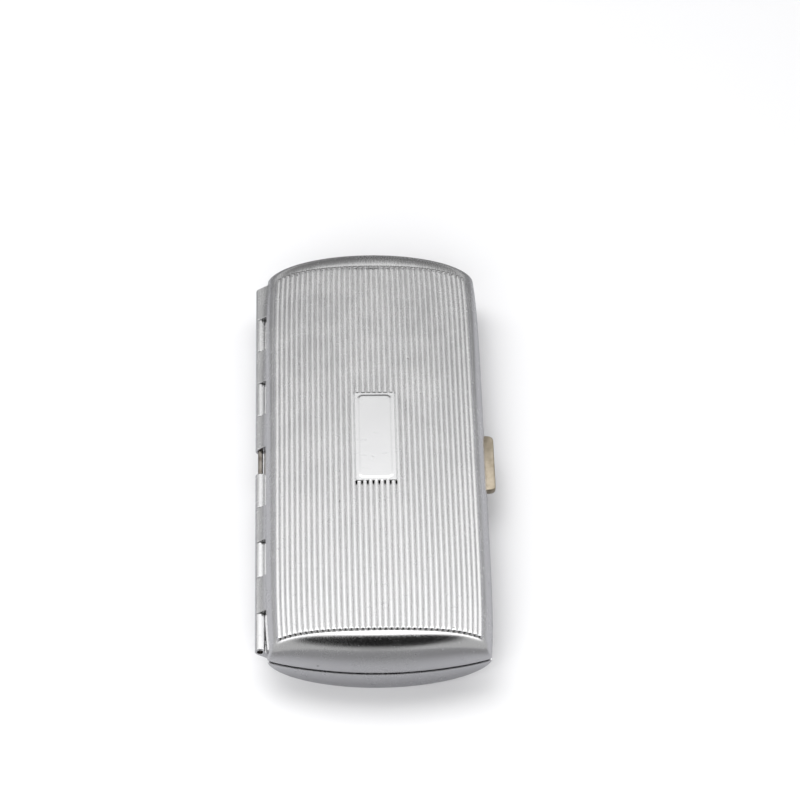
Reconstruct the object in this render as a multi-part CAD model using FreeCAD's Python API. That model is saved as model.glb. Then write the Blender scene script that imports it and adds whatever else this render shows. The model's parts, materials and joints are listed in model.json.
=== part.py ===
"""Spectacle case: two pressed aluminium shells on a side hinge, shut by a spring push bar."""

import FreeCAD
import Part

import math
import os

# Everything is in millimetres. While modelling, the parting plane is z = 0, +Y runs along the case,
# the hinge is at -X and the push bar at +X. Parts are lifted to stand on z = 0 when written.

# Driving dimensions
LENGTH = 104.0
WIDTH = 44.6
LID_RISE = 8.3
BASE_DEPTH = 8.1
REST_FLAT = 0.15
WALL = 0.6
SEAM = 0.3
FIT = 0.05

# Shape of the pressed shells
END_BOW = 2.9
CORNER = 0.4
CORNER_SHARPNESS = 12
SIDE_TAPER = 1.1
SIDE_TAPER_POWER = 6.5
CROWN_SQUARENESS = 0.5
END_ROLL = 5.2
END_SQUARENESS = 0.7
ROLL_AT_SIDE = 0.25

# Reeding and badge on the lid
RIB_COUNT = 37
RIB_PITCH = 1.132
RIB_RADIUS = 0.64
RIB_HEIGHT = 0.38
RIB_ROOT = 1.6
RIB_END = 46.95
RIB_END_BOW = 0.45
RIB_SHIFT = -0.7
BADGE_HALF_WIDTH = 4.13
BADGE_HALF_LENGTH = 11.4
BADGE_HEIGHT = 0.42
PANEL_HALF_WIDTH = 3.1
PANEL_HALF_LENGTH = 10.5
PANEL_HEIGHT = 0.3
PANEL_BEVEL = 0.3

# Hinge
PIN_RADIUS = 0.5
BARREL_RADIUS = 1.0
HINGE_X = -WIDTH / 2 - 0.75
KNUCKLE = 8.7
HINGE_GAP = 6.2
KNUCKLE_PLAY = 0.12
SHEET_REACH = 1.2
PIN_RECESS = 1.2

# Rim frame inside the mouth of the base
FRAME_INSET = 1.03
FRAME_WALL = 0.4
FRAME_LOW = -1.7
FRAME_HIGH = 0.9
FRAME_OPEN_HALF = 9.0

# Push bar latch
BAR_HALF = 7.1
BAR_PROUD = 1.9
BAR_LOW = -1.55
BAR_HIGH = -0.25
BAR_CORNER = 1.2
BAR_LIP = 0.3
FLANGE_HALF = 8.4
FLANGE_WALL = 0.32
BAR_PLAY = 0.12
SPRING_X = WIDTH / 2 - FRAME_INSET - FRAME_WALL - FIT
SPRING_WALL = 0.3
SPRING_HALF = 12.6
SPRING_LOW = -1.65
SPRING_HIGH = -0.35
HOOK_HALF = 2.0
HOOK_TOP = 1.5
HOOK_UNDERSIDE = 1.0
HOOK_REACH = 0.5
HOOK_CHAMFER = 0.35
CATCH_HALF = 4.5
CATCH_WALL = 0.3
CATCH_FROM_WALL = 0.75
CATCH_LOW = 0.45
CATCH_HIGH = 1.85
CATCH_LEDGE = 0.3
CATCH_PLAY = 0.1
RIVET_Y = 10.8
RIVET_Z = -1.0
RIVET_RADIUS = 0.4
RIVET_TAIL = 0.1
RIVET_HEAD = 0.65
RIVET_HEAD_HEIGHT = 0.25
RIVET_HEAD_EDGE = 0.15

# Lining
TRAY_INSET = WALL + 0.04
TRAY_WALL = 0.4
VELVET_INSET = TRAY_INSET + TRAY_WALL + 0.03
VELVET_WALL = 0.7
LINING_EDGE = 1.9
VELVET_EDGE = 0.1

# How finely curves are drawn, in degrees of the section and steps of the rolled ends
SKIN_STEP = 7.5
ROLL_STEPS = 12
OUTLINE_STEP = 5

BIG = 200.0
TINY = 0.01


def squared_arch(angle, squareness):
    """Height of a quarter arch as a share of its rise; squareness 0 gives a plain ellipse."""
    return math.cos(angle) * math.sqrt(1 + squareness * math.sin(angle) ** 2)


def crown(angle):
    """Height of the oval cross-section as a share of its rise, angle measured from the crown."""
    return squared_arch(angle, CROWN_SQUARENESS)


def half_length(angle, inset):
    """Half the length of the plan outline where the cross-section has this angle."""
    across = math.sin(angle)
    corner = 1 - math.sqrt(max(0.0, 1 - across ** CORNER_SHARPNESS))
    return LENGTH / 2 - inset - END_BOW * across ** 2 - CORNER * corner


def plan_x(across, y, inset):
    """Distance from the middle plane; the long sides draw in a little towards the ends."""
    drawn_in = SIDE_TAPER * (abs(y) / (LENGTH / 2)) ** SIDE_TAPER_POWER
    return (WIDTH / 2 - inset - drawn_in) * math.sin(across)


def surface_point(across, along, rise, inset):
    """Point of a pressed shell: across is the section angle, along runs -2 to 2, its roll beyond 1."""
    end = half_length(across, inset)
    roll = (END_ROLL - inset) * (ROLL_AT_SIDE + (1 - ROLL_AT_SIDE) * crown(across))
    turn = math.radians(90) * max(0.0, abs(along) - 1)
    y = math.copysign((end - roll) * min(1.0, abs(along)) + roll * math.sin(turn), along)
    z = (rise - inset) * max(0.0, crown(across)) * squared_arch(turn, END_SQUARENESS)
    return FreeCAD.Vector(plan_x(across, y, inset), y, z)


def surface_rows():
    """Rows of the skin, closer together where it rolls over the ends."""
    flat = [0.0, 0.3, 0.6, 0.8, 0.9, 0.95, 0.98]
    half = flat + [1 + step / ROLL_STEPS for step in range(ROLL_STEPS + 1)]
    return [-value for value in reversed(half[1:])] + half


def half_skin(rise, inset, end):
    """Faces over one end, 1 or -1. The rows start at the other end, since the last rows come out truest."""
    steps = round(90 / SKIN_STEP)
    columns = [end * math.radians(SKIN_STEP * step) for step in range(-steps, steps + 1)]
    whole = Part.BSplineSurface()
    whole.interpolate([[surface_point(a, end * v, rise, inset) for a in columns] for v in surface_rows()])
    v0, v1, u0, u1 = whole.bounds()
    u_middle = (u0 + u1) / 2
    v_middle = (v0 + v1) / 2
    faces = []
    for u_low, u_high in ((u0, u_middle), (u_middle, u1)):
        quarter = whole.copy()
        quarter.segment(v_middle, v1, u_low, u_high)
        faces.append(quarter.toShape())
    return faces


def dome(rise, inset):
    """Closed solid under one pressed surface, standing on the parting plane."""
    faces = half_skin(rise, inset, 1) + half_skin(rise, inset, -1)
    on_plane = [edge for face in faces for edge in face.Edges if edge.BoundBox.ZMax < 1e-4]
    rim = Part.Wire(Part.sortEdges(on_plane)[0])
    shell = Part.makeShell(faces + [Part.Face(rim)])
    shell.sewShape()
    solid = Part.Solid(shell)
    if solid.Volume < 0:
        solid.reverse()
    return solid


def slab(low, high):
    """Box that covers the whole plan between two heights."""
    return Part.makeBox(BIG, BIG, high - low, FreeCAD.Vector(-BIG / 2, -BIG / 2, low))


def box(x0, x1, y0, y1, z0, z1):
    return Part.makeBox(x1 - x0, y1 - y0, z1 - z0, FreeCAD.Vector(x0, y0, z0))


def flipped(shape):
    """The same shape upside down, turned about the long axis."""
    copy = shape.copy()
    copy.rotate(FreeCAD.Vector(), FreeCAD.Vector(0, 1, 0), 180)
    return copy


def rod(radius, y0, y1, x=HINGE_X, z=0.0):
    return Part.makeCylinder(radius, y1 - y0, FreeCAD.Vector(x, y0, z), FreeCAD.Vector(0, 1, 0))


def clean(shape):
    """One solid, with split faces joined again."""
    merged = shape.removeSplitter()
    solids = merged.Solids
    return max(solids, key=lambda solid: solid.Volume)


# Hinge


def knuckle_spans():
    """Start and end of the eleven places along the hinge; the middle one is the open gap."""
    total = 10 * KNUCKLE + HINGE_GAP
    place = total / 2
    spans = []
    for index in range(11):
        size = HINGE_GAP if index == 5 else KNUCKLE
        spans.append((place - size, place))
        place -= size
    return spans


def knuckle_sets():
    """Lid and base knuckles: the two shells are rolled alike, so the pattern turns over at the gap."""
    spans = knuckle_spans()
    lid = [spans[index] for index in (0, 2, 4, 7, 9)]
    base = [spans[index] for index in (1, 3, 6, 8, 10)]
    return lid, base


def knuckle(span, side):
    """Rolled barrel and the sheet that runs into the wall; side is 1 for the lid, -1 for the base."""
    y0 = span[0] + KNUCKLE_PLAY / 2
    y1 = span[1] - KNUCKLE_PLAY / 2
    edge = SEAM / 2
    low, high = sorted((side * edge, side * BARREL_RADIUS))
    inside_wall = -WIDTH / 2 + SHEET_REACH
    sheet = box(HINGE_X, inside_wall, y0, y1, low, high)
    return rod(BARREL_RADIUS, y0, y1).fuse(sheet)


def hinged(shell, own, other, side):
    """Adds a shell's own knuckles and clears room for the other shell's."""
    shell = shell.fuse([knuckle(span, side) for span in own])
    room = [rod(BARREL_RADIUS + BAR_PLAY, y0 - KNUCKLE_PLAY / 2, y1 + KNUCKLE_PLAY / 2) for y0, y1 in other]
    bore = rod(PIN_RADIUS + FIT, -LENGTH / 2, LENGTH / 2)
    return shell.cut(room + [bore])


def hinge_pin():
    reach = 5 * KNUCKLE + HINGE_GAP / 2 - PIN_RECESS
    return rod(PIN_RADIUS, -reach, reach)


# Lid


def rib_angles():
    """Section angles of the rib crests, evenly spaced along the curve of the crown."""
    steps = 4000
    angles = [0.0]
    target = RIB_PITCH
    travelled = 0.0
    last = (0.0, LID_RISE)
    for step in range(1, steps):
        angle = math.radians(90) * step / steps
        point = (WIDTH / 2 * math.sin(angle), LID_RISE * crown(angle))
        travelled += math.dist(last, point)
        last = point
        if travelled >= target and len(angles) <= RIB_COUNT // 2:
            angles.append(angle)
            target += RIB_PITCH
    return [-angle for angle in reversed(angles[1:])] + angles


def rib_centre(angle):
    """Axis of one reed's round crest and the slope of the crown under it."""
    step = 0.001
    slope = math.atan2(LID_RISE * (crown(angle + step) - crown(angle - step)),
                       WIDTH / 2 * (math.sin(angle + step) - math.sin(angle - step)))
    sunk = RIB_RADIUS - RIB_HEIGHT
    x = WIDTH / 2 * math.sin(angle) + sunk * math.sin(slope)
    z = LID_RISE * crown(angle) - sunk * math.cos(slope)
    return x, z, slope


def around(centre, bearing, radius):
    """Point at a bearing from the outward normal of one reed, positive towards +X."""
    x, z, slope = centre
    return FreeCAD.Vector(x + radius * math.sin(bearing - slope), 0, z + radius * math.cos(bearing - slope))


def valley(left, right):
    """Point where two neighbouring reeds meet."""
    middle_x = (left[0] + right[0]) / 2
    middle_z = (left[1] + right[1]) / 2
    apart = math.dist(left[:2], right[:2])
    height = math.sqrt(RIB_RADIUS ** 2 - apart ** 2 / 4)
    return FreeCAD.Vector(middle_x - height * (right[1] - left[1]) / apart, 0,
                          middle_z + height * (right[0] - left[0]) / apart)


def reeding():
    """The whole field of reeds as one bar, with ends that bow with the case, a little off the middle."""
    centres = [rib_centre(angle) for angle in rib_angles()]
    joins = [around(centres[0], -math.radians(90), RIB_RADIUS)]
    joins += [valley(left, right) for left, right in zip(centres, centres[1:])]
    joins.append(around(centres[-1], math.radians(90), RIB_RADIUS))
    edges = []
    for centre, start, stop in zip(centres, joins, joins[1:]):
        edges.append(Part.Arc(start, around(centre, 0, RIB_RADIUS), stop).toShape())
    root = RIB_RADIUS - RIB_HEIGHT - RIB_ROOT
    under = [around(centre, 0, root) for centre in reversed(centres[::2])]
    corners = [joins[-1]] + under + [joins[0]]
    edges += [Part.makeLine(start, stop) for start, stop in zip(corners, corners[1:])]
    profile = Part.Face(Part.Wire(edges))
    profile.translate(FreeCAD.Vector(0, -LENGTH / 2, 0))
    field = profile.extrude(FreeCAD.Vector(0, LENGTH, 0))
    half = WIDTH / 2
    side = RIB_END - RIB_END_BOW
    ends = [Part.Arc(FreeCAD.Vector(-half, sign * side, 0), FreeCAD.Vector(0, sign * RIB_END, 0),
                     FreeCAD.Vector(half, sign * side, 0)).toShape() for sign in (-1, 1)]
    sides = [Part.makeLine(FreeCAD.Vector(x, -side, 0), FreeCAD.Vector(x, side, 0)) for x in (-half, half)]
    plan = Part.Face(Part.Wire(Part.sortEdges(ends + sides)[0]))
    plan.translate(FreeCAD.Vector(0, RIB_SHIFT, 0))
    return field.common(plan.extrude(FreeCAD.Vector(0, 0, LID_RISE * 2)))


def badge():
    """Flat land with a raised, bevelled, blank panel."""
    root = LID_RISE - PANEL_BEVEL
    land_top = LID_RISE + BADGE_HEIGHT
    panel_top = land_top + PANEL_HEIGHT
    land = box(-BADGE_HALF_WIDTH, BADGE_HALF_WIDTH, -BADGE_HALF_LENGTH, BADGE_HALF_LENGTH, root, land_top)
    panel = box(-PANEL_HALF_WIDTH, PANEL_HALF_WIDTH, -PANEL_HALF_LENGTH, PANEL_HALF_LENGTH, root, panel_top)
    rim = [edge for edge in panel.Edges if edge.BoundBox.ZMin > panel_top - TINY]
    panel = panel.makeChamfer(PANEL_BEVEL - TINY, rim)
    return [land, panel]


def lid_shell(own, other):
    outside = dome(LID_RISE, 0.0)
    outside = outside.fuse(reeding()).fuse(badge())
    shell = outside.common(slab(SEAM / 2, BIG))
    shell = hinged(shell, own, other, 1)
    return clean(shell.cut(dome(LID_RISE, WALL)))


def lid_catch():
    """Ledge inside the lid, over which the spring's hook snaps, with its flange on the lid's wall."""
    wall = WIDTH / 2 - WALL
    inner = wall - CATCH_FROM_WALL
    window_half = HOOK_HALF + HOOK_REACH
    plate = box(inner, inner + CATCH_WALL, -CATCH_HALF, CATCH_HALF, CATCH_LOW, CATCH_HIGH)
    window = box(0, wall, -window_half, window_half, CATCH_LOW + CATCH_LEDGE, HOOK_TOP + CATCH_PLAY)
    return clean(plate.cut(window))


# Base


def base_shell(own, other):
    outside = flipped(dome(BASE_DEPTH, 0.0)).common(slab(-BASE_DEPTH + REST_FLAT, -SEAM / 2))
    shell = hinged(outside, own, other, -1)
    shell = shell.cut(flipped(dome(BASE_DEPTH, WALL)))
    notch_half = BAR_HALF + BAR_PLAY
    notch = box(WIDTH / 3, WIDTH, -notch_half, notch_half, BAR_LOW - BAR_PLAY, SEAM)
    return clean(shell.cut(notch))


def spline(points):
    curve = Part.BSplineCurve()
    curve.interpolate(points)
    return curve.toShape()


def outline(inset):
    """Plan outline of the shells, moved inwards."""
    steps = round(90 / OUTLINE_STEP)
    angles = [math.radians(OUTLINE_STEP * step) for step in range(-steps, steps + 1)]
    corner = half_length(math.radians(90), inset)
    edges = []
    for sign in (-1, 1):
        ends = [(a, sign * half_length(a, inset)) for a in angles]
        sides = [(math.radians(90) * sign, corner * step / steps) for step in range(-steps, steps + 1)]
        for places in (ends, sides):
            edges.append(spline([FreeCAD.Vector(plan_x(a, y, inset), y, 0) for a, y in places]))
    return Part.Wire(Part.sortEdges(edges)[0])


def base_rim_frame():
    outer = Part.Face(outline(FRAME_INSET)).extrude(FreeCAD.Vector(0, 0, FRAME_HIGH - FRAME_LOW))
    inner = Part.Face(outline(FRAME_INSET + FRAME_WALL)).extrude(FreeCAD.Vector(0, 0, FRAME_HIGH - FRAME_LOW))
    frame = outer.cut(inner)
    frame.translate(FreeCAD.Vector(0, 0, FRAME_LOW))
    opening = box(0, WIDTH, -FRAME_OPEN_HALF, FRAME_OPEN_HALF, -BIG, BIG)
    return clean(frame.cut([opening] + rivet_holes()))


# Latch


def latch_bar():
    """Thumb bar with rounded outer corners, and the flange that keeps it in the notch."""
    outer = WIDTH / 2 + BAR_PROUD
    flange_x = WIDTH / 2 - FRAME_INSET - FRAME_WALL + FIT / 2
    thumb = box(flange_x, outer, -BAR_HALF, BAR_HALF, BAR_LOW, BAR_HIGH)
    corners = [e for e in thumb.Edges
               if e.BoundBox.XMin > outer - TINY and e.BoundBox.YLength < TINY and e.BoundBox.XLength < TINY]
    thumb = thumb.makeFillet(BAR_CORNER, corners)
    lips = [e for e in thumb.Edges
            if e.BoundBox.XMax > outer - TINY and e.BoundBox.ZLength < TINY and e.BoundBox.YLength > BAR_HALF]
    thumb = thumb.makeFillet(BAR_LIP, lips)
    flange = box(flange_x, flange_x + FLANGE_WALL, -FLANGE_HALF, FLANGE_HALF, BAR_LOW, BAR_HIGH)
    return clean(thumb.fuse(flange))


def crosswise(radius, x0, x1, y):
    """Round bar at the height of the rivets, along X."""
    return Part.makeCylinder(radius, x1 - x0, FreeCAD.Vector(x0, y, RIVET_Z), FreeCAD.Vector(1, 0, 0))


def rivet_holes():
    return [crosswise(RIVET_RADIUS + FIT / 2, WIDTH / 3, WIDTH / 2, y) for y in (-RIVET_Y, RIVET_Y)]


def latch_spring():
    """Flat spring behind the bar, with the hook that reaches up into the lid."""
    inner = SPRING_X - SPRING_WALL
    strip = box(inner, SPRING_X, -SPRING_HALF, SPRING_HALF, SPRING_LOW, SPRING_HIGH)
    stem = box(inner, SPRING_X, -HOOK_HALF, HOOK_HALF, SPRING_LOW, HOOK_TOP)
    hook = box(inner, SPRING_X + HOOK_REACH, -HOOK_HALF, HOOK_HALF, HOOK_UNDERSIDE, HOOK_TOP)
    tip = [e for e in hook.Edges
           if e.BoundBox.XMin > SPRING_X + HOOK_REACH - TINY and e.BoundBox.ZMin > HOOK_TOP - TINY]
    hook = hook.makeChamfer(HOOK_CHAMFER, tip)
    return clean(strip.fuse([stem, hook]).cut(rivet_holes()))


def latch_rivets():
    """Two headed rivets through the spring and the rim frame."""
    inner = SPRING_X - SPRING_WALL
    outer = WIDTH / 2 - FRAME_INSET
    rivets = []
    for y in (-RIVET_Y, RIVET_Y):
        under_head = inner - TINY
        top = under_head - RIVET_HEAD_HEIGHT
        shank = crosswise(RIVET_RADIUS, top, outer + RIVET_TAIL, y)
        head = crosswise(RIVET_HEAD, top, under_head, y)
        rim = [edge for edge in head.Edges if edge.BoundBox.XMax < top + TINY]
        head = head.makeFillet(RIVET_HEAD_EDGE, rim)
        rivets.append(shank.fuse(head).removeSplitter())
    return Part.makeCompound([solid for rivet in rivets for solid in rivet.Solids])


# Lining


def bowl(rise, inset, wall, edge):
    """Thin lining that follows the shell from its edge upwards."""
    outer = dome(rise, inset).common(slab(edge, BIG))
    return clean(outer.cut(dome(rise, inset + wall)))


def build():
    lid_knuckles, base_knuckles = knuckle_sets()
    return {
        "lid_shell": lid_shell(lid_knuckles, base_knuckles),
        "base_shell": base_shell(base_knuckles, lid_knuckles),
        "hinge_pin": hinge_pin(),
        "base_rim_frame": base_rim_frame(),
        "latch_bar": latch_bar(),
        "latch_spring": latch_spring(),
        "latch_rivets": latch_rivets(),
        "lid_catch": lid_catch(),
        "lid_liner_tray": bowl(LID_RISE, TRAY_INSET, TRAY_WALL, LINING_EDGE),
        "lid_velvet": bowl(LID_RISE, VELVET_INSET, VELVET_WALL, LINING_EDGE + VELVET_EDGE),
        "base_liner_tray": flipped(bowl(BASE_DEPTH, TRAY_INSET, TRAY_WALL, LINING_EDGE + VELVET_EDGE)),
        "base_velvet": flipped(bowl(BASE_DEPTH, VELVET_INSET, VELVET_WALL, LINING_EDGE + 2 * VELVET_EDGE)),
    }


os.makedirs("parts", exist_ok=True)
for node, shape in build().items():
    shape.translate(FreeCAD.Vector(0, 0, BASE_DEPTH - REST_FLAT))
    shape.exportStep(os.path.join("parts", node + ".step"))
    print(node, shape.isValid(), len(shape.Solids), round(shape.Volume, 2))
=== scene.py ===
"""Looks of the metal spectacle case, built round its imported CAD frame.

Shapes are worked out in millimetres with the parting plane at z = 0, +Y along the case, the hinge at
-X and the push bar at +X, as in the CAD source. place() turns them into metres in the row frame.
"""

import json
import math

import bmesh
import bpy
import numpy as np
from mathutils import Matrix, Vector


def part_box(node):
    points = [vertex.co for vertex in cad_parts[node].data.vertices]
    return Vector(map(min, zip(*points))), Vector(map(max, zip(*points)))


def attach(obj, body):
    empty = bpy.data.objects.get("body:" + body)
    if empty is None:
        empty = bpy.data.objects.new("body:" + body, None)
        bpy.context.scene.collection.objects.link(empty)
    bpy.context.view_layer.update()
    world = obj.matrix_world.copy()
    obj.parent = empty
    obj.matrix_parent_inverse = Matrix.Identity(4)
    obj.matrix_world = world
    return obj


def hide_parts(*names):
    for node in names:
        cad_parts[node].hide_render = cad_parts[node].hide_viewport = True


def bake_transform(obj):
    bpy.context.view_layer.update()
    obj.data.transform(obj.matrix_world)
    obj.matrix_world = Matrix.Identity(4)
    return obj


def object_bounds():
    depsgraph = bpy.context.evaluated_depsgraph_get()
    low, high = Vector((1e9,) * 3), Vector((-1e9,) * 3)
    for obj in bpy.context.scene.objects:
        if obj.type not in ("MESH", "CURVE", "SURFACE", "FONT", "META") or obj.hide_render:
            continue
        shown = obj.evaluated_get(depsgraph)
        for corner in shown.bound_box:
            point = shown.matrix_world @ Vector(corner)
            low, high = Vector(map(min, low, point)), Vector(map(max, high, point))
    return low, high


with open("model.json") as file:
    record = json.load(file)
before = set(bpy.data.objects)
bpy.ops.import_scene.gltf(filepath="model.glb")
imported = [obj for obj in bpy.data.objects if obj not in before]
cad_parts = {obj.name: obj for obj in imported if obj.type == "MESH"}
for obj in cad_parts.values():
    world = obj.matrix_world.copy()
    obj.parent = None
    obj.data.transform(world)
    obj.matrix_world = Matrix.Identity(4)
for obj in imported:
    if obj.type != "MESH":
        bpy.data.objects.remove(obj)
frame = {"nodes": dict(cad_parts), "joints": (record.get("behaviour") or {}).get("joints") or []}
cad_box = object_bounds()

MM = 0.001


def box_mm(node):
    low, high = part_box(node)
    return np.array(low) / MM, np.array(high) / MM


# From the frame
lid_low, lid_high = box_mm("lid_shell")
base_low = box_mm("base_shell")[0]
pin_low, pin_high = box_mm("hinge_pin")
bar_low, bar_high = box_mm("latch_bar")
hinge = next(joint for joint in frame["joints"] if joint["name"] == "lid_hinge")
HINGE_X = hinge["pos_m"][0] / MM
PARTING = hinge["pos_m"][2] / MM
HALF_WIDTH = lid_high[0]
HALF_LENGTH = lid_high[1]
BASE_FOOT = PARTING - base_low[2]
BARREL = HINGE_X - lid_low[0]
PIN = (pin_high[0] - pin_low[0]) / 2

# Pressed shells, as in the CAD source
REST_FLAT = 0.15
WALL = 0.6
END_BOW = 2.9
CORNER = 0.4
CORNER_SHARPNESS = 12
SIDE_TAPER = 1.1
SIDE_TAPER_POWER = 6.5
CROWN_SQUARENESS = 0.5
END_ROLL = 5.2
END_SQUARENESS = 0.7
ROLL_AT_SIDE = 0.25

# Joint line between the shells, wider here than in the CAD source, and the rounding of their rims
SEAM = 0.55
EDGE_ROUND = 0.1
EDGE_HALFWAY = 0.3

# Reeding and badge. PANEL_HEIGHT is the one in the CAD source, which sets the rise of the lid, and
# PANEL_SHOWN is the height that the badge's panel has here
RIB_SIDE = 18
RIB_PITCH = 1.132
RIB_RADIUS = 0.64
RIB_HEIGHT = 0.38
RIB_FOOT = math.sqrt(RIB_RADIUS ** 2 - (RIB_RADIUS - RIB_HEIGHT) ** 2)
RIB_END = 46.95
RIB_END_BOW = 0.45
RIB_SHIFT = -0.7
LAND = (4.13, 11.4)
LAND_HEIGHT = 0.42
LAND_EDGE = 0.16
PANEL = (3.35, 10.7)
PANEL_HEIGHT = 0.3
PANEL_SHOWN = 0.07
PANEL_EDGE = 0.38
PANEL_CORNER = 1.0
# Dashes of painted shadow just before the near end of the badge's land: their length, and the valley depths
# over which they fade in
DASH_LENGTH = 0.6
DASH_EDGE = (0.05, 0.35)
LID_RISE = lid_high[2] - PARTING - LAND_HEIGHT - PANEL_HEIGHT
BASE_DEPTH = BASE_FOOT + REST_FLAT

# Rows and columns of the shells' grids: start, stop and step of the rows between the middle of the lid
# and the ends of the reeds, and the share of a reed's width at which each column stands
LID_ROWS = ((0, 9.6, 1.2), (9.7, 12.0, 0.11), (12.4, 45.5, 1.5))
REED_COLUMNS = (-0.5, -0.46, -0.38, -0.26, -0.1, 0.1, 0.26, 0.38, 0.46)
SHOULDER_COLUMNS = 26
REED_END_BAND = 1.3
FINE_BAND = 1.7
FINE_SHARE = 0.6
MARK_LIMIT = 0.955
PLAIN_MIDDLE = 44
PLAIN_MARK = 46.0

# Hinge: eleven places along the pin, the middle one open
PLACES = 11
KNUCKLE = 8.7
HINGE_GAP = 6.2
GAP_PLACE = 5
LID_PLACES = (0, 2, 4, 7, 9)
BASE_PLACES = (1, 3, 6, 8, 10)
KNUCKLE_PLAY = 0.12
KNUCKLE_ENDS = ((0, 0.09), (0.03, 0.03), (0.09, 0), (0.2, 0))
PIN_ENDS = ((0, 0.25), (0.05, 0.1), (0.15, 0.02), (0.25, 0))
CURL_BORE = 0.62
ROOM_PLAY = 0.04
WEB_ANGLE = math.radians(124)
WEB_REACH = 1.2
CURL_END = math.radians(367)

# Latch
THUMB_HALF = 7.1
THUMB_CORNER = 1.2
THUMB_ROUND = 0.28
FLANGE = 0.32
FLANGE_STEP = 0.01
FLANGE_ROUND = 0.05
NOTCH_PLAY = 0.12
NOTCH_TOP = 0.5
NOTCH_REACH = 3
SPRING_CUTS = range(-10, 11)

# Lining
PILE = 0.7
PILE_PLAY = 0.02
PILE_ROUND = 0.28
LINING_BACK = 1.07
LINING_TURN = 84
LINING_MIDDLE = 43
LINING_MARK = 45.0
LID_LINING_EDGE = 2.0
BASE_LINING_EDGE = 2.1
HELD_RIM = 0.4
HELD_FACE = 0.05
CREASE_CAP = 0.3
CLOTH_FRAMES = 15

# Angles, in degrees, from which an edge is shown sharp
SHELL_SHARP = 38
SMALL_SHARP = 40
SPRING_SHARP = 30
LINING_SHARP = 60

# Brightness of the studio as the metal reflects it, as a share of white
PANEL_BRIGHT = 1.64
MIDDLE_GREY = 0.77
FAR_GREY = 0.2
FAR_DARK = 0.15
OVERHEAD_DARK = 0.008
NEAR_GREY = 0.3
SIDE_GREY = 0.47

# Distances along the floor from the middle of the case, in mm, between which its painted-shade copy seen in
# the metal goes greyer
FLOOR_CLOSE = 50
FLOOR_FAR = 80


# Surfaces of the pressed shells


def squared_arch(angle, squareness):
    """Height of a quarter arch as a share of its rise; squareness 0 gives a plain ellipse."""
    return np.maximum(0, np.cos(angle)) * np.sqrt(1 + squareness * np.sin(angle) ** 2)


def crown(angle):
    """Height of the oval cross-section as a share of its rise, angle measured from the crown."""
    return squared_arch(angle, CROWN_SQUARENESS)


def half_length(angle, inset):
    across = np.abs(np.sin(angle))
    corner = 1 - np.sqrt(np.maximum(0, 1 - across ** CORNER_SHARPNESS))
    return HALF_LENGTH - inset - END_BOW * across ** 2 - CORNER * corner


def roll_radius(angle, inset):
    return (END_ROLL - inset) * (ROLL_AT_SIDE + (1 - ROLL_AT_SIDE) * crown(angle))


def profile_length(angle, inset):
    """Length of the lengthwise profile, from the middle of the case over the rolled end to its rim."""
    return half_length(angle, inset) + roll_radius(angle, inset) * (math.pi / 2 - 1)


def skin(angle, reach, rise, inset=0.0, rim=0.0):
    """Points of a pressed surface; reach is measured from the middle along the lengthwise profile."""
    radius = roll_radius(angle, inset)
    flat = half_length(angle, inset) - radius
    turn = np.clip((np.abs(reach) - flat) / radius, 0, math.pi / 2)
    y = np.sign(reach) * (np.minimum(np.abs(reach), flat) + radius * np.sin(turn))
    drawn_in = SIDE_TAPER * (np.abs(y) / HALF_LENGTH) ** SIDE_TAPER_POWER
    x = (HALF_WIDTH - inset - drawn_in) * np.sin(angle)
    z = (rise - inset) * crown(angle) * squared_arch(turn, END_SQUARENESS)
    return np.stack([x, y, rim + z * (1 - rim / (rise - inset))], -1)


def skin_normals(angle, reach, rise):
    step = 1e-4
    lengthwise = skin(angle, reach + step, rise) - skin(angle, reach - step, rise)
    crosswise = skin(angle + step, reach, rise) - skin(angle - step, reach, rise)
    normals = np.cross(crosswise, lengthwise)
    return normals / np.maximum(1e-12, np.linalg.norm(normals, axis=-1, keepdims=True))


def arc_table():
    """Section angle against distance travelled across the lid from its crest."""
    angles = np.linspace(0, math.pi / 2, 4001)
    points = np.stack([HALF_WIDTH * np.sin(angles), LID_RISE * crown(angles)], -1)
    steps = np.linalg.norm(np.diff(points, axis=0), axis=1)
    return angles, np.concatenate([[0], np.cumsum(steps)])


def smooth(low, high, value):
    share = np.clip((value - low) / (high - low), 0, 1)
    return share * share * (3 - 2 * share)


def rounded_box(x, y, half, corner):
    """Distance outside a rectangle with rounded corners, negative inside it."""
    dx = np.abs(x) - half[0] + corner
    dy = np.abs(y) - half[1] + corner
    return np.hypot(np.maximum(dx, 0), np.maximum(dy, 0)) + np.minimum(np.maximum(dx, dy), 0) - corner


def rib_end_at(x, reach):
    """How far the reeding goes towards the end on which reach lies."""
    return RIB_END + RIB_SHIFT * np.sign(reach) - RIB_END_BOW * (x / HALF_WIDTH) ** 2


def reed_height(arc, reach, x):
    """Height of the reeding, each reed with a round back and a round end."""
    centre = np.clip(np.round(arc / RIB_PITCH), -RIB_SIDE, RIB_SIDE) * RIB_PITCH
    beyond = np.maximum(0, np.abs(reach) - (rib_end_at(x, reach) - RIB_FOOT))
    distance = np.hypot(arc - centre, beyond)
    back = np.sqrt(np.maximum(0, RIB_RADIUS ** 2 - distance ** 2))
    return np.maximum(0, back - (RIB_RADIUS - RIB_HEIGHT))


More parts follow.
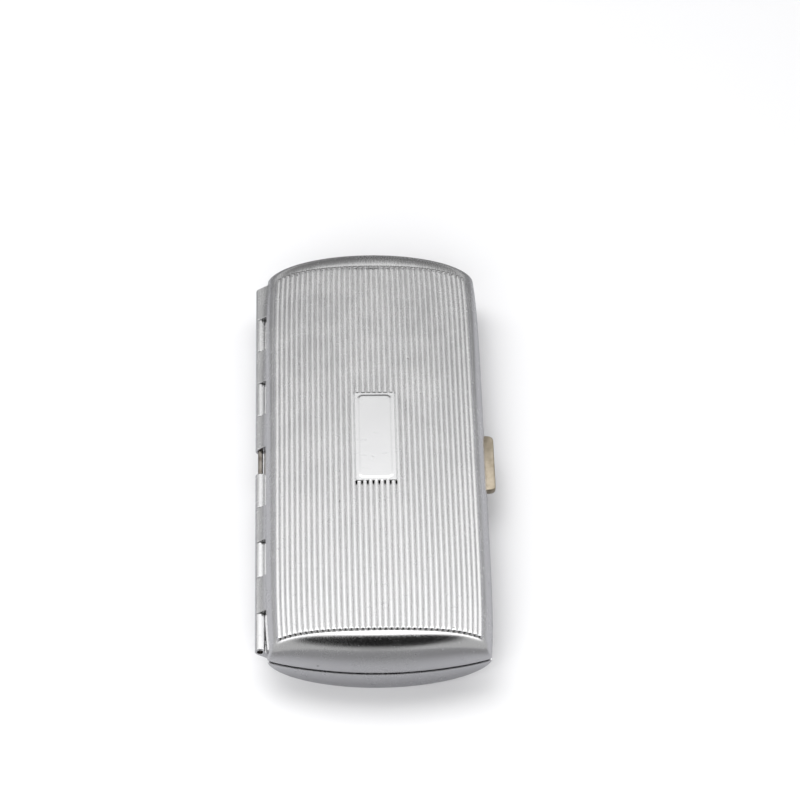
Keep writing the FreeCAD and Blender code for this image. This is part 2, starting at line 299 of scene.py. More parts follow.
def reeded_lid(angle, reach, arc):
    """Outer surface of the lid, and how deep each point lies between the reeds.

    The depth is 0 to 1, and up to 2 in the dashes at the near end of the badge, which the material paints
    near black as painted shadow.
    """
    plain = skin(angle, reach, LID_RISE, rim=SEAM / 2 + EDGE_ROUND)
    height = reed_height(arc, reach, plain[..., 0])
    points = plain + skin_normals(angle, reach, LID_RISE) * height[..., None]
    x, y = plain[..., 0], plain[..., 1]
    land = smooth(0, -LAND_EDGE, rounded_box(x, y, LAND, LAND_EDGE))
    panel = smooth(0, -PANEL_EDGE, rounded_box(x, y, PANEL, PANEL_CORNER))
    badge_z = LID_RISE + LAND_HEIGHT + PANEL_SHOWN * panel
    points[..., 2] += (badge_z - points[..., 2]) * land
    in_field = (np.abs(arc) < (RIB_SIDE + 0.5) * RIB_PITCH) & (np.abs(reach) < rib_end_at(x, reach))
    cavity = np.where(in_field, 1 - height / RIB_HEIGHT, 0)
    # Dashes of painted shadow: just before the land, the valleys get a depth of up to 2
    before_land = (y < -LAND[1] + LAND_EDGE) & (y > -LAND[1] - DASH_LENGTH) & (np.abs(x) < LAND[0])
    cavity = np.where(before_land, 2 * smooth(*DASH_EDGE, cavity), cavity * (1 - land))
    return points, cavity


# Mesh building


def place(points):
    """Millimetres over the parting plane to metres in the row frame."""
    return (np.asarray(points, float) + np.array([0, 0, PARTING])) * MM


def make_object(name, points, faces):
    mesh = bpy.data.meshes.new(name)
    mesh.from_pydata(np.asarray(points).tolist(), [], [list(map(int, face)) for face in faces])
    bm = bmesh.new()
    bm.from_mesh(mesh)
    bmesh.ops.recalc_face_normals(bm, faces=bm.faces)
    bm.to_mesh(mesh)
    bm.free()
    piece = bpy.data.objects.new(name, mesh)
    bpy.context.scene.collection.objects.link(piece)
    return piece


def shade(piece, sharp_degrees):
    piece.data.shade_smooth()
    piece.data.set_sharp_from_angle(angle=math.radians(sharp_degrees))


def paint(piece, material):
    """Gives the whole piece one material, in place of whatever modifiers left behind."""
    piece.data.materials.clear()
    piece.data.materials.append(material)
    piece.data.polygons.foreach_set("material_index", np.zeros(len(piece.data.polygons), np.int32))


def applied(piece):
    """Turns a piece's modifiers into its mesh."""
    bpy.context.view_layer.update()
    evaluated = piece.evaluated_get(bpy.context.evaluated_depsgraph_get())
    mesh = bpy.data.meshes.new_from_object(evaluated)
    piece.modifiers.clear()
    piece.data = mesh


def combine(piece, tool, operation):
    """Joins or cuts a closed mesh with another, which is then thrown away."""
    modifier = piece.modifiers.new(operation, "BOOLEAN")
    modifier.operation = operation
    modifier.solver = "MANIFOLD"
    modifier.object = tool
    applied(piece)
    bpy.data.objects.remove(tool)


def grid_quads(rows, columns, first=0):
    index = first + np.arange(rows * columns).reshape(rows, columns)
    corners = [index[:-1, :-1], index[:-1, 1:], index[1:, 1:], index[1:, :-1]]
    return np.stack(corners, -1).reshape(-1, 4)


def grid_border(rows, columns):
    """Points round the edge of a grid, in order."""
    index = np.arange(rows * columns).reshape(rows, columns)
    return np.concatenate([index[0, :-1], index[:-1, -1], index[-1, :0:-1], index[:0:-1, 0]])


def strip_quads(loop, next_loop):
    return np.stack([loop, np.roll(loop, -1), np.roll(next_loop, -1), next_loop], -1)


def loop_shares(points):
    closed = np.concatenate([points, points[:1]])
    travelled = np.concatenate([[0], np.cumsum(np.linalg.norm(np.diff(closed, axis=0), axis=1))])
    return travelled / travelled[-1]


def zip_triangles(points, outer, inner):
    """Triangles between two closed loops with different numbers of points."""
    outer_at = loop_shares(points[outer])
    inner_at = loop_shares(points[inner])
    faces = []
    i = 0
    j = 0
    while i < len(outer) or j < len(inner):
        here = outer[i % len(outer)]
        there = inner[j % len(inner)]
        if j == len(inner) or (i < len(outer) and outer_at[i + 1] <= inner_at[j + 1]):
            i += 1
            faces.append((here, outer[i % len(outer)], there))
        else:
            j += 1
            faces.append((here, inner[j % len(inner)], there))
    return faces


def stack(rings):
    """Closed body through rings of equally many points, flat at both ends."""
    count = len(rings[0])
    loops = [np.arange(count) + count * number for number in range(len(rings))]
    faces = [face for loop, after in zip(loops, loops[1:]) for face in strip_quads(loop, after)]
    return np.concatenate(rings), faces + [loops[0], loops[-1]]


def prism(outline_at, stations):
    """Closed bar along Y: outline_at(shrink) gives the x, z outline, stations are (y, shrink)."""
    rings = []
    for y, shrink in stations:
        outline = outline_at(shrink)
        rings.append(np.column_stack([outline[:, 0], np.full(len(outline), y), outline[:, 1]]))
    return stack(rings)


def joined(parts):
    """Several point and face lists as one."""
    points = []
    faces = []
    for part_points, part_faces in parts:
        first = sum(len(block) for block in points)
        points.append(part_points)
        faces += [np.asarray(face) + first for face in part_faces]
    return np.concatenate(points), faces


# Shells


def half_rows(angles, middle, mark, steps_at_mark, steps_over_end):
    """Rows of a shell's grid from the middle to one end, closest together past the mark and over the end."""
    total = profile_length(angles, 0)
    mark_at = np.minimum(mark - RIB_END_BOW * np.sin(angles) ** 2, MARK_LIMIT * half_length(angles, 0))
    fine = np.minimum(FINE_BAND, FINE_SHARE * (total - mark_at))
    rows = [mark_at * value / mark for value in middle]
    rows += [mark_at + fine * step / steps_at_mark for step in range(steps_at_mark)]
    tail = total - mark_at - fine
    rows += [mark_at + fine + tail * step / steps_over_end for step in range(steps_over_end + 1)]
    return np.array(rows)


def reach_rows(angles, middle, mark, steps_at_mark, steps_over_end, shift=0.0):
    near = half_rows(angles, middle, mark - shift, steps_at_mark, steps_over_end)
    far = half_rows(angles, middle, mark + shift, steps_at_mark, steps_over_end)
    return np.concatenate([-near[:0:-1], far])


def lid_columns():
    """Section angles of the lid's grid, closest together in the valleys between the reeds."""
    angles, travelled = arc_table()
    reeds = np.arange(-RIB_SIDE, RIB_SIDE + 1)
    field = (reeds[:, None] + np.array(REED_COLUMNS)).ravel() * RIB_PITCH
    edge = (RIB_SIDE + 0.5) * RIB_PITCH
    shoulder = np.linspace(edge, travelled[-1], SHOULDER_COLUMNS)
    arcs = np.concatenate([-shoulder[::-1], field[1:], shoulder])
    return np.sign(arcs) * np.interp(np.abs(arcs), travelled, angles), arcs


def rim_ring(angle, reach, inset, rise, height):
    scale = profile_length(angle, inset) / profile_length(angle, 0)
    return skin(angle, reach * scale, rise, inset, height)


def shell_mesh(outer, angle, reach, rise, foot=None):
    """Closed sheet under a grid of outer points, with a rounded rim and a plain inside."""
    rows, columns = angle.shape
    points = [outer.reshape(-1, 3)]
    border = grid_border(rows, columns)
    faces = list(grid_quads(rows, columns))
    edge_angle = angle.ravel()[border]
    edge_reach = reach.ravel()[border]
    rim = SEAM / 2
    loop = border
    first = rows * columns
    halfway = EDGE_ROUND * EDGE_HALFWAY
    for inset, height in ((halfway, rim + halfway), (EDGE_ROUND, rim)):
        points.append(rim_ring(edge_angle, edge_reach, inset, rise, height))
        after = np.arange(len(border)) + first
        first += len(border)
        faces += list(strip_quads(loop, after))
        loop = after
    inner_angle = np.radians(np.linspace(-90, 90, 61))
    inner_reach = reach_rows(inner_angle, np.linspace(0, PLAIN_MIDDLE, 12), PLAIN_MARK, 4, 12)
    inner_angle = np.broadcast_to(inner_angle, inner_reach.shape)
    scale = profile_length(inner_angle, WALL) / profile_length(inner_angle, 0)
    inside = skin(inner_angle, inner_reach * scale, rise, WALL, rim + EDGE_ROUND)
    inside_border = grid_border(*inner_angle.shape)
    under = rim_ring(inner_angle.ravel()[inside_border], inner_reach.ravel()[inside_border],
                     WALL - EDGE_ROUND, rise, rim)
    points += [under, inside.reshape(-1, 3)]
    under_loop = np.arange(len(under)) + first
    inside_first = first + len(under)
    faces += list(strip_quads(under_loop, inside_border + inside_first))
    faces += list(grid_quads(*inner_angle.shape, inside_first))
    points = np.concatenate(points)
    if foot is not None:
        points[:, 2] = np.minimum(points[:, 2], foot)
    return points, faces + zip_triangles(points, loop, under_loop)


def knuckle_spans():
    """Start and end of each place along the hinge, from the far end; the middle one is the open gap."""
    place_at = ((PLACES - 1) * KNUCKLE + HINGE_GAP) / 2
    spans = []
    for number in range(PLACES):
        size = HINGE_GAP if number == GAP_PLACE else KNUCKLE
        spans.append((place_at - size, place_at))
        place_at -= size
    return spans


def knuckle_outline(side):
    """Rolled sheet round the pin, with the web that runs up into the wall of its shell."""
    def outline(shrink):
        radius = BARREL - shrink
        turns = np.linspace(WEB_ANGLE, CURL_END, 48)
        arc = np.stack([HINGE_X + radius * np.cos(turns), radius * np.sin(turns)], -1)
        wall_x = -HALF_WIDTH + WEB_REACH
        web_top = arc[0, 1] + (wall_x - arc[0, 0]) * math.tan(WEB_ANGLE - math.pi / 2)
        web = np.array([[wall_x, SEAM / 2], [wall_x, web_top]])
        profile = np.concatenate([arc, web])
        return profile * np.array([1, side])
    return outline


def rounded_stations(low, high, ends):
    """Stations of a prism whose two ends are rounded alike, from steps inwards and how far each is shrunk."""
    starts = [(low + step, shrink) for step, shrink in ends]
    stops = [(high - step, shrink) for step, shrink in ends[::-1]]
    return starts + stops


def knuckles(spans, side):
    bars = []
    for low, high in spans:
        stations = rounded_stations(low + KNUCKLE_PLAY / 2, high - KNUCKLE_PLAY / 2, KNUCKLE_ENDS)
        bars.append(prism(knuckle_outline(side), stations))
    return joined(bars)


def circle_on_hinge(radius, steps):
    """Outline of a rod round the hinge line, for prism()."""
    turns = np.linspace(0, 2 * math.pi, steps, endpoint=False)

    def outline(shrink):
        size = radius - shrink
        return np.stack([HINGE_X + size * np.cos(turns), size * np.sin(turns)], -1)
    return outline


def rods(radius, spans):
    return joined([prism(circle_on_hinge(radius, 64), [(low, 0), (high, 0)]) for low, high in spans])


def hinge_shell(shell, own_places, other_places, side):
    """Adds a shell's own knuckles, makes room for the other shell's, and bores for the pin."""
    spans = knuckle_spans()
    points, faces = knuckles([spans[number] for number in own_places], side)
    combine(shell, make_object("own_knuckles", place(points), faces), "UNION")
    others = [spans[number] for number in other_places]
    room = [(low - KNUCKLE_PLAY / 2, high + KNUCKLE_PLAY / 2) for low, high in others]
    points, faces = rods(BARREL + ROOM_PLAY, room)
    combine(shell, make_object("room", place(points), faces), "DIFFERENCE")
    points, faces = rods(CURL_BORE, [(-HALF_LENGTH, HALF_LENGTH)])
    combine(shell, make_object("bore", place(points), faces), "DIFFERENCE")


def stand_in(piece, body, node, sharp_degrees):
    """Finishes a piece that rides on one body and is shown in place of a CAD node."""
    shade(piece, sharp_degrees)
    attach(piece, body)
    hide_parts(node)
    return piece


def build_lid():
    angles, arcs = lid_columns()
    middle = np.concatenate([np.arange(*rows) for rows in LID_ROWS])
    reach = reach_rows(angles, middle, RIB_END - REED_END_BAND, 17, 24, RIB_SHIFT)
    angle = np.broadcast_to(angles, reach.shape)
    arc = np.broadcast_to(arcs, reach.shape)
    outer, cavity = reeded_lid(angle, reach, arc)
    points, faces = shell_mesh(outer, angle, reach, LID_RISE)
    lid = make_object("reeded_lid", place(points), faces)
    depth = np.zeros(len(points), np.float32)
    depth[:cavity.size] = cavity.ravel()
    lid.data.attributes.new("cavity", "FLOAT", "POINT").data.foreach_set("value", depth)
    hinge_shell(lid, LID_PLACES, BASE_PLACES, 1)
    return stand_in(lid, "lid", "lid_shell", SHELL_SHARP)


def build_base():
    angles = np.radians(np.linspace(-90, 90, 121))
    reach = reach_rows(angles, np.linspace(0, PLAIN_MIDDLE, 30), PLAIN_MARK, 8, 24)
    angle = np.broadcast_to(angles, reach.shape)
    outer = skin(angle, reach, BASE_DEPTH, rim=SEAM / 2 + EDGE_ROUND)
    points, faces = shell_mesh(outer, angle, reach, BASE_DEPTH, BASE_FOOT)
    base = make_object("plain_base", place(points * np.array([-1, 1, -1])), faces)
    hinge_shell(base, BASE_PLACES, LID_PLACES, -1)
    cut_notch(base)
    return stand_in(base, "base", "base_shell", SHELL_SHARP)


# Materials


class Nodes:
    """Short calls for building one material's node tree."""

    def __init__(self, tree):
        self.tree = tree

    def add(self, kind, **settings):
        node = self.tree.nodes.new(kind)
        for key, value in settings.items():
            setattr(node, key, value)
        return node

    def link(self, source, target):
        self.tree.links.new(source, target)

    def value(self, source, target):
        """Feeds a number or another node's output into a socket."""
        if isinstance(source, bpy.types.NodeSocket):
            self.link(source, target)
        else:
            target.default_value = source

    def math(self, operation, first, second=0.0):
        node = self.add("ShaderNodeMath", operation=operation)
        self.value(first, node.inputs[0])
        self.value(second, node.inputs[1])
        return node.outputs[0]

    def ramp(self, source, low, high, start=0.0, stop=1.0):
        node = self.add("ShaderNodeMapRange", interpolation_type="SMOOTHSTEP")
        for socket, number in zip(node.inputs, (source, low, high, start, stop)):
            self.value(number, socket)
        return node.outputs[0]

    def noise(self, coordinate, scale, detail=2.0, rough=0.5):
        node = self.add("ShaderNodeTexNoise")
        self.link(coordinate, node.inputs["Vector"])
        node.inputs["Scale"].default_value = scale
        node.inputs["Detail"].default_value = detail
        node.inputs["Roughness"].default_value = rough
        return node.outputs[0]

    def millimetres(self, stretch=(1, 1, 1)):
        coordinate = self.add("ShaderNodeTexCoord")
        mapping = self.add("ShaderNodeMapping")
        mapping.inputs["Scale"].default_value = [share / MM for share in stretch]
        self.link(coordinate.outputs["Object"], mapping.inputs["Vector"])
        return mapping.outputs[0]

    def mix(self, share, first, second):
        node = self.add("ShaderNodeMix", data_type="RGBA")
        self.value(share, node.inputs["Factor"])
        for socket, colour in ((node.inputs[6], first), (node.inputs[7], second)):
            if isinstance(colour, bpy.types.NodeSocket):
                self.link(colour, socket)
            else:
                socket.default_value = (*colour, 1)
        return node.outputs[2]

    def blend(self, share, first, second):
        """Mixes two numbers."""
        node = self.add("ShaderNodeMix", data_type="FLOAT")
        sockets = (node.inputs["Factor"], node.inputs[2], node.inputs[3])
        for socket, number in zip(sockets, (share, first, second)):
            self.value(number, socket)
        return node.outputs[0]

    def bump(self, height, strength, distance_mm, before=None):
        node = self.add("ShaderNodeBump")
        node.inputs["Strength"].default_value = strength
        node.inputs["Distance"].default_value = distance_mm * MM
        self.link(height, node.inputs["Height"])
        if before is not None:
            self.link(before, node.inputs["Normal"])
        return node.outputs[0]


def new_material(name):
    material = bpy.data.materials.new(name)
    material.use_nodes = True
    shader = material.node_tree.nodes["Principled BSDF"]
    return material, Nodes(material.node_tree), shader


def shell_metal():
    """Worn satin aluminium: drawn grain along the case, small pits, dull scuffs, painted shade in the valleys
    between the reeds, which are also rougher, and painted shadow in the dashes before the badge.
    """
    material, n, shader = new_material("worn_aluminium")
    shader.inputs["Metallic"].default_value = 1.0
    even = n.millimetres()
    drawn = n.noise(n.millimetres((6, 0.25, 6)), 1.0, 4)
    mottle = n.noise(even, 0.09, 4)
    fine = n.noise(even, 2.2, 3)
    scuffs = n.ramp(n.noise(n.millimetres((0.5, 1.6, 0.8)), 0.7, 5, 0.6), 0.58, 0.74)
    cells = n.add("ShaderNodeTexVoronoi")
    cells.inputs["Scale"].default_value = 0.42
    n.link(even, cells.inputs["Vector"])
    size = n.add("ShaderNodeSeparateColor")
    n.link(cells.outputs["Color"], size.inputs[0])
    radius = n.ramp(size.outputs[0], 0.8, 1.0, 0.0, 0.11)
    pits = n.ramp(n.math("SUBTRACT", cells.outputs["Distance"], radius), -0.06, 0.02, 1.0, 0.0)
    attribute = n.add("ShaderNodeAttribute", attribute_name="cavity")
    # Painted shade: the colour darkens with the depth between the reeds, and the roughness rises there too
    painted_valley_shade = n.ramp(attribute.outputs["Fac"], 0.45, 1.0)
    clean_colour = n.mix(mottle, (0.80, 0.80, 0.81), (0.90, 0.90, 0.90))
    worn = n.mix(n.math("MULTIPLY", scuffs, 0.35), clean_colour, (0.70, 0.70, 0.72))
    with_painted_shade = n.mix(n.math("MULTIPLY", painted_valley_shade, 0.45), worn, (0.34, 0.33, 0.32))
    # Painted shadow: past a depth of 1.2, in the dashes before the badge, the colour goes near black
    with_painted_shade = n.mix(n.ramp(attribute.outputs["Fac"], 1.2, 1.9), with_painted_shade, (0.01, 0.01, 0.01))
    n.link(n.mix(n.math("MULTIPLY", pits, 0.75), with_painted_shade, (0.30, 0.29, 0.28)), shader.inputs["Base Color"])
    rough = n.math("ADD", n.ramp(drawn, 0.3, 0.7, 0.17, 0.25), n.math("MULTIPLY", scuffs, 0.09))
    rough = n.math("ADD", rough, n.ramp(mottle, 0.35, 0.65, 0.0, 0.05))
    rough = n.math("ADD", rough, n.math("MULTIPLY", painted_valley_shade, 0.12))
    n.link(rough, shader.inputs["Roughness"])
    grain = n.bump(drawn, 0.10, 0.02)
    soft = n.bump(fine, 0.12, 0.03, grain)
    n.link(n.bump(pits, 0.5, -0.08, soft), shader.inputs["Normal"])
    return material


def plain_metal(name, colour, dark, low_rough, high_rough, stretch):
    """Metal with drawn or rolled grain, faint patches and fine bumps."""
    material, n, shader = new_material(name)
    shader.inputs["Metallic"].default_value = 1.0
    grain = n.noise(n.millimetres(stretch), 1.0, 4)
    patches = n.noise(n.millimetres(), 0.6, 4)
    n.link(n.mix(n.ramp(patches, 0.35, 0.7), colour, dark), shader.inputs["Base Color"])
    n.link(n.ramp(grain, 0.3, 0.7, low_rough, high_rough), shader.inputs["Roughness"])
    n.link(n.bump(grain, 0.15, 0.02), shader.inputs["Normal"])
    return material


def tray_plastic():
    material, n, shader = new_material("tray_plastic")
    grain = n.noise(n.millimetres(), 3.0, 3)
    patches = n.noise(n.millimetres(), 0.15, 3)
    n.link(n.mix(patches, (0.020, 0.020, 0.023), (0.045, 0.045, 0.05)), shader.inputs["Base Color"])
    n.link(n.ramp(grain, 0.3, 0.7, 0.5, 0.66), shader.inputs["Roughness"])
    n.link(n.bump(grain, 0.25, 0.04), shader.inputs["Normal"])
    return material


def velvet_cloth():
    """Short dark pile: strokes of lighter and darker nap, fine tufts and a soft sheen."""
    material, n, shader = new_material("velvet_pile")
    nap = n.noise(n.millimetres((1, 0.5, 1)), 0.16, 4, 0.6)
    tufts = n.noise(n.millimetres(), 5.5, 3, 0.7)
    lighter = n.ramp(nap, 0.38, 0.66)
    shade_share = n.math("ADD", n.math("MULTIPLY", lighter, 0.6), n.math("MULTIPLY", tufts, 0.4))
    n.link(n.mix(shade_share, (0.010, 0.014, 0.034), (0.040, 0.052, 0.100)), shader.inputs["Base Color"])
    shader.inputs["Roughness"].default_value = 0.95
    shader.inputs["Sheen Weight"].default_value = 0.9
    shader.inputs["Sheen Roughness"].default_value = 0.35
    shader.inputs["Sheen Tint"].default_value = (0.55, 0.6, 0.8, 1)
    n.link(n.bump(tufts, 0.6, 0.12), shader.inputs["Normal"])
    return material


# Smaller parts


def build_pin():
    stations = rounded_stations(pin_low[1], pin_high[1], PIN_ENDS)
    points, faces = prism(circle_on_hinge(PIN, 40), stations)
    pin = make_object("steel_hinge_pin", place(points), faces)
    return stand_in(pin, "base", "hinge_pin", SMALL_SHARP)


def plate(outline_at, low, high, edge):
    """Closed plate between two heights, its outline shrunk towards both faces to round the edges."""
    levels = []
    for step in range(5):
        turn = math.radians(90) * step / 4
        levels.append((low + edge * (1 - math.sin(turn)), edge * (1 - math.cos(turn))))
    levels = levels[::-1]
    levels += [(high - (height - low), shrink) for height, shrink in reversed(levels)]
    rings = []
    for height, shrink in levels:
        outline = outline_at(shrink)
        rings.append(np.column_stack([outline, np.full(len(outline), height)]))
    return stack(rings)


def build_bar():
    """Thumb bar: rounded plate whose outer corners are turned, with the flange behind the wall."""
    inner, outer = bar_low[0], bar_high[0]
    low, high = bar_low[2] - PARTING, bar_high[2] - PARTING

    def thumb(shrink):
        radius = THUMB_CORNER - shrink
        turns = np.radians(np.linspace(-90, 0, 10))
        far = np.stack([outer - THUMB_CORNER + radius * np.cos(turns),
                        -THUMB_HALF + THUMB_CORNER + radius * np.sin(turns)], -1)
        near = far[::-1] * np.array([1, -1])
        half = THUMB_HALF - shrink
        along = np.linspace(-THUMB_HALF + THUMB_CORNER, THUMB_HALF - THUMB_CORNER, 14)[1:-1]
        middle = np.column_stack([np.full(len(along), outer - shrink), along])
        back = np.array([[inner + shrink, half], [inner + shrink, -half]])
        return np.concatenate([far, middle, near, back])

    def flange(shrink):
        half = bar_high[1] - shrink
        return np.array([[inner + shrink, -half], [inner + FLANGE - shrink, -half],
                         [inner + FLANGE - shrink, half], [inner + shrink, half]])

    points, faces = plate(thumb, low, high, THUMB_ROUND)
    bar = make_object("push_bar_thumb", place(points), faces)
    points, faces = plate(flange, low + FLANGE_STEP, high - FLANGE_STEP, FLANGE_ROUND)
    combine(bar, make_object("flange", place(points), faces), "UNION")
    return stand_in(bar, "push_bar", "latch_bar", SMALL_SHARP)


def cut_notch(base):
    """Opening in the base's wall for the push bar."""
    y_half = THUMB_HALF + NOTCH_PLAY
    low = bar_low[2] - PARTING - NOTCH_PLAY
    corners = np.array([[-y_half, low], [y_half, low], [y_half, NOTCH_TOP], [-y_half, NOTCH_TOP]])
    ends = (HALF_WIDTH - NOTCH_REACH, HALF_WIDTH + NOTCH_REACH)
    points, faces = stack([np.column_stack([np.full(4, x), corners]) for x in ends])
    combine(base, make_object("notch", place(points), faces), "DIFFERENCE")


def build_spring():
    """Leaf spring: the CAD node's mesh, cut across at every millimetre along Y and shown in its place."""
    source = frame["nodes"]["latch_spring"]
    spring = bpy.data.objects.new("leaf_spring", source.data.copy())
    bpy.context.scene.collection.objects.link(spring)
    bm = bmesh.new()
    bm.from_mesh(spring.data)
    bmesh.ops.remove_doubles(bm, verts=bm.verts, dist=1e-6)
    for y in SPRING_CUTS:
        everything = bm.verts[:] + bm.edges[:] + bm.faces[:]
        bmesh.ops.bisect_plane(bm, geom=everything, plane_co=(0, y * MM, 0), plane_no=(0, 1, 0))
    bm.to_mesh(spring.data)
    bm.free()
    spring.data.materials.clear()
    shade(spring, SPRING_SHARP)
    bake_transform(spring)
    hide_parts("latch_spring")
    return spring


# Lining


def lining_sheet(rise, inset, edge):
    """Open sheet that follows the shell inside, cut level at the lining's edge."""
    angles = np.radians(np.linspace(-LINING_TURN, LINING_TURN, 57))
    reach = reach_rows(angles, np.linspace(0, LINING_MIDDLE, 36), LINING_MARK, 4, 16)
    scale = profile_length(angles, inset) / profile_length(angles, 0)
    points = skin(np.broadcast_to(angles, reach.shape), reach * scale, rise, inset)
    bm = bmesh.new()
    verts = [bm.verts.new(point) for point in points.reshape(-1, 3)]
    for face in grid_quads(*reach.shape):
        bm.faces.new([verts[number] for number in face])
    everything = bm.verts[:] + bm.edges[:] + bm.faces[:]
    bmesh.ops.bisect_plane(bm, geom=everything, plane_co=(0, 0, edge), plane_no=(0, 0, -1), clear_outer=True)
    return bm


def relax_cloth(piece):
    """Lets the glued cloth pucker a little: the rim is held, and no point moves further than the cap."""
    start = np.array([vertex.co for vertex in piece.data.vertices])
    modifier = piece.modifiers.new("pile", "CLOTH")
    settings = modifier.settings
    settings.quality = 4
    settings.mass = 0.05
    settings.tension_stiffness = 12
    settings.compression_stiffness = 12
    settings.bending_stiffness = 0.2
    settings.shrink_min = -0.025
    settings.use_pressure = True
    settings.uniform_pressure_force = -0.6
    settings.vertex_group_mass = "held"
    settings.effector_weights.gravity = 0
    modifier.collision_settings.use_collision = False
    for number in range(1, CLOTH_FRAMES + 1):
        bpy.context.scene.frame_set(number)
    applied(piece)
    moved = np.array([vertex.co for vertex in piece.data.vertices]) - start
    far = np.maximum(1e-9, np.linalg.norm(moved, axis=1, keepdims=True))
    limited = start + moved * np.minimum(1, CREASE_CAP * MM / far)
    piece.data.vertices.foreach_set("co", limited.astype(np.float32).ravel())
    bpy.context.scene.frame_set(1)


def build_lining(name, node, body, rise, side, edge):
    """Soft lining: a cloth sheet puckered by simulation, thickened and rounded at its edge."""
    bm = lining_sheet(rise, LINING_BACK + PILE, edge)
    for vertex in bm.verts:
        vertex.co.z *= side
        vertex.co.x *= side
    mesh = bpy.data.meshes.new(name)
    bm.to_mesh(mesh)
    bm.free()
    mesh.vertices.foreach_set("co", place([vertex.co for vertex in mesh.vertices]).ravel())
    piece = bpy.data.objects.new(name, mesh)
    bpy.context.scene.collection.objects.link(piece)
    held = piece.vertex_groups.new(name="held")
    heights = np.array([vertex.co.z for vertex in mesh.vertices]) / MM - PARTING
    for vertex, height in zip(mesh.vertices, heights * side):
        held.add([vertex.index], 1.0 if height < edge + HELD_RIM else HELD_FACE, "REPLACE")
    relax_cloth(piece)
    solid = piece.modifiers.new("thickness", "SOLIDIFY")
    solid.thickness = (PILE - PILE_PLAY) * MM
    solid.offset = 1.0
    round_edge = piece.modifiers.new("edge", "BEVEL")
    round_edge.width = PILE_ROUND * MM
    round_edge.segments = 3
    round_edge.limit_method = "ANGLE"
    round_edge.angle_limit = math.radians(50)
    applied(piece)
    return stand_in(piece, body, node, LINING_SHARP)


# Stage


def build_floor():
    """Pale floor; the metal's reflections see a darker copy of it, painted shade that is greyest beyond the
    ends of the case.
    """
    material, n, shader = new_material("studio_floor")
    place_on_floor = n.add("ShaderNodeSeparateXYZ")
    n.link(n.millimetres(), place_on_floor.inputs[0])
    far = n.ramp(n.math("ABSOLUTE", place_on_floor.outputs["Y"]), FLOOR_CLOSE, FLOOR_FAR)
    # Painted shade: glossy rays see the floor grey, darker beyond the ends of the case, while the camera sees
    # it pale
    seen_in_metal = n.mix(far, (0.40, 0.40, 0.42), (0.17, 0.17, 0.175))
    mirrored = n.add("ShaderNodeLightPath").outputs["Is Glossy Ray"]
    n.link(n.mix(mirrored, (0.87, 0.87, 0.88), seen_in_metal), shader.inputs["Base Color"])
    shader.inputs["Roughness"].default_value = 0.7
    shader.inputs["Specular IOR Level"].default_value = 0.2
    size = 2.0
    corners = [(-size, -size, 0), (size, -size, 0), (size, size, 0), (-size, size, 0)]
    mesh = bpy.data.meshes.new("floor")
    mesh.from_pydata(corners, [], [(0, 1, 2, 3)])
    floor = bpy.data.objects.new("floor", mesh)
    floor.location.z = cad_box[0].z
    floor.data.materials.append(material)
    bpy.context.scene.collection.objects.link(floor)


def build_world():
    """Studio seen in the metal: a bright panel behind and above, darkness over the camera, grey sides."""
    world = bpy.data.worlds.new("studio")
    bpy.context.scene.world = world
    world.use_nodes = True
    n = Nodes(world.node_tree)
    background = world.node_tree.nodes["Background"]
    direction = n.add("ShaderNodeTexCoord").outputs["Generated"]
    split = n.add("ShaderNodeSeparateXYZ")
    n.link(direction, split.inputs[0])
    lean = n.math("ARCSINE", split.outputs["Y"])
    aside = n.math("ABSOLUTE", n.math("ARCTAN2", split.outputs["X"], split.outputs["Z"]))
    edge = n.math("ADD", lean, n.ramp(aside, 0, math.radians(70), 0, math.radians(5)))
    level = n.ramp(lean, math.radians(-80), math.radians(-63), NEAR_GREY, OVERHEAD_DARK)
    # Each step: the angle it goes by, where it starts and stops in degrees, and the change in brightness
    steps = ((lean, 1, 10, PANEL_BRIGHT), (edge, 35, 40, MIDDLE_GREY - PANEL_BRIGHT),
             (edge, 40, 46, FAR_GREY - MIDDLE_GREY), (lean, 50, 68, FAR_DARK - FAR_GREY))
    for angle, start, stop, change in steps:
        step = n.ramp(angle, math.radians(start), math.radians(stop), 0, change)
        level = n.math("ADD", level, step)
    reach = n.math("ADD", aside, n.ramp(lean, 0, math.radians(12), 0, math.radians(-30)))
    sideways = n.ramp(reach, math.radians(31), math.radians(47))
    level = n.blend(sideways, level, SIDE_GREY)
    seen = n.add("ShaderNodeLightPath").outputs["Is Camera Ray"]
    n.link(n.blend(seen, level, 1.0), background.inputs["Strength"])
    background.inputs["Color"].default_value = (1, 1, 1, 1)


def softbox(name, direction, distance, size, brightness, target):
    """Rectangular lamp whose face looks as bright as the given share of white."""
    light = bpy.data.lights.new(name, "AREA")
    light.shape = "RECTANGLE"
    light.size, light.size_y = size
    light.energy = brightness * math.pi * light.size * light.size_y
    lamp = bpy.data.objects.new(name, light)
    towards = Vector(direction).normalized()
    lamp.location = target + towards * distance
    lamp.rotation_euler = towards.to_track_quat("Z", "Y").to_euler()
    bpy.context.scene.collection.objects.link(lamp)
    return lamp


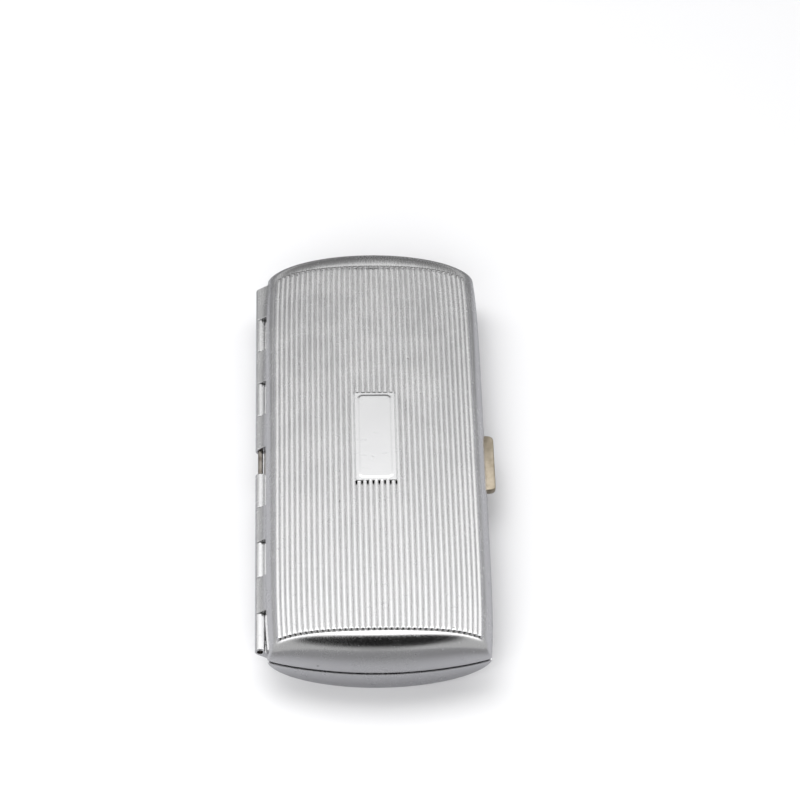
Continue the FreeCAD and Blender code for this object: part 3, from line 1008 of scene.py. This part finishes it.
def build_camera():
    """Long lens from above the near end, a little to the left of the case's axis."""
    azimuth = 0.044
    elevation = math.radians(50)
    roll = 0.025
    distance = 671.0
    shift = (-5.085, -12.727)
    focal = 149.6
    forward = np.array([math.sin(azimuth) * math.cos(elevation), math.cos(azimuth) * math.cos(elevation),
                        -math.sin(elevation)])
    level = np.array([math.cos(azimuth), -math.sin(azimuth), 0])
    upward = np.cross(level, forward)
    right = level * math.cos(roll) + upward * math.sin(roll)
    up = upward * math.cos(roll) - level * math.sin(roll)
    centre = -distance * forward - shift[0] * right - shift[1] * up
    camera = bpy.data.cameras.new("camera")
    camera.lens = focal
    camera.sensor_width = 36
    camera.clip_start = 0.01
    camera.clip_end = 10
    holder = bpy.data.objects.new("camera", camera)
    turn = Matrix([right, up, -forward]).transposed()
    holder.matrix_world = Matrix.Translation(Vector(place(centre))) @ turn.to_4x4()
    bpy.context.scene.collection.objects.link(holder)
    bpy.context.scene.camera = holder


def build_lights():
    """Soft lamps for the floor and the cloth, kept out of the metal's reflections."""
    target = (cad_box[0] + cad_box[1]) / 2
    overhead = softbox("overhead", (-0.25, 0.25, 0.9), 0.6, (0.5, 0.5), 2.0, target)
    front = softbox("front", (-0.15, -0.85, 0.6), 0.6, (0.7, 0.4), 3.4, target)
    for lamp in (overhead, front):
        lamp.visible_glossy = False


def main():
    metal = shell_metal()
    steel = plain_metal("spring_steel", (0.42, 0.43, 0.46), (0.28, 0.29, 0.33), 0.24, 0.38, (1, 0.2, 8))
    pin_steel = plain_metal("pin_steel", (0.40, 0.37, 0.33), (0.24, 0.21, 0.18), 0.25, 0.4, (8, 0.3, 8))
    brass = plain_metal("champagne_brass", (0.55, 0.48, 0.38), (0.42, 0.36, 0.27), 0.28, 0.42, (0.8, 0.8, 6))
    strip = plain_metal("frame_aluminium", (0.62, 0.62, 0.63), (0.46, 0.46, 0.48), 0.24, 0.36, (1, 1, 9))
    plastic = tray_plastic()
    velvet = velvet_cloth()

    lid = build_lid()
    base = build_base()
    paint(lid, metal)
    paint(base, metal)
    for build, material in ((build_pin, pin_steel), (build_bar, brass), (build_spring, steel)):
        paint(build(), material)
    lid_lining = build_lining("lid_velvet_lining", "lid_velvet", "lid", LID_RISE, 1, LID_LINING_EDGE)
    base_lining = build_lining("base_velvet_lining", "base_velvet", "base", BASE_DEPTH, -1, BASE_LINING_EDGE)
    paint(lid_lining, velvet)
    paint(base_lining, velvet)
    carried = {"base_rim_frame": strip, "latch_rivets": steel, "lid_catch": steel,
               "base_liner_tray": plastic, "lid_liner_tray": plastic}
    for node, material in carried.items():
        paint(frame["nodes"][node], material)

    build_floor()
    build_world()
    build_lights()
    build_camera()
    bpy.context.scene.view_settings.view_transform = "Standard"


main()
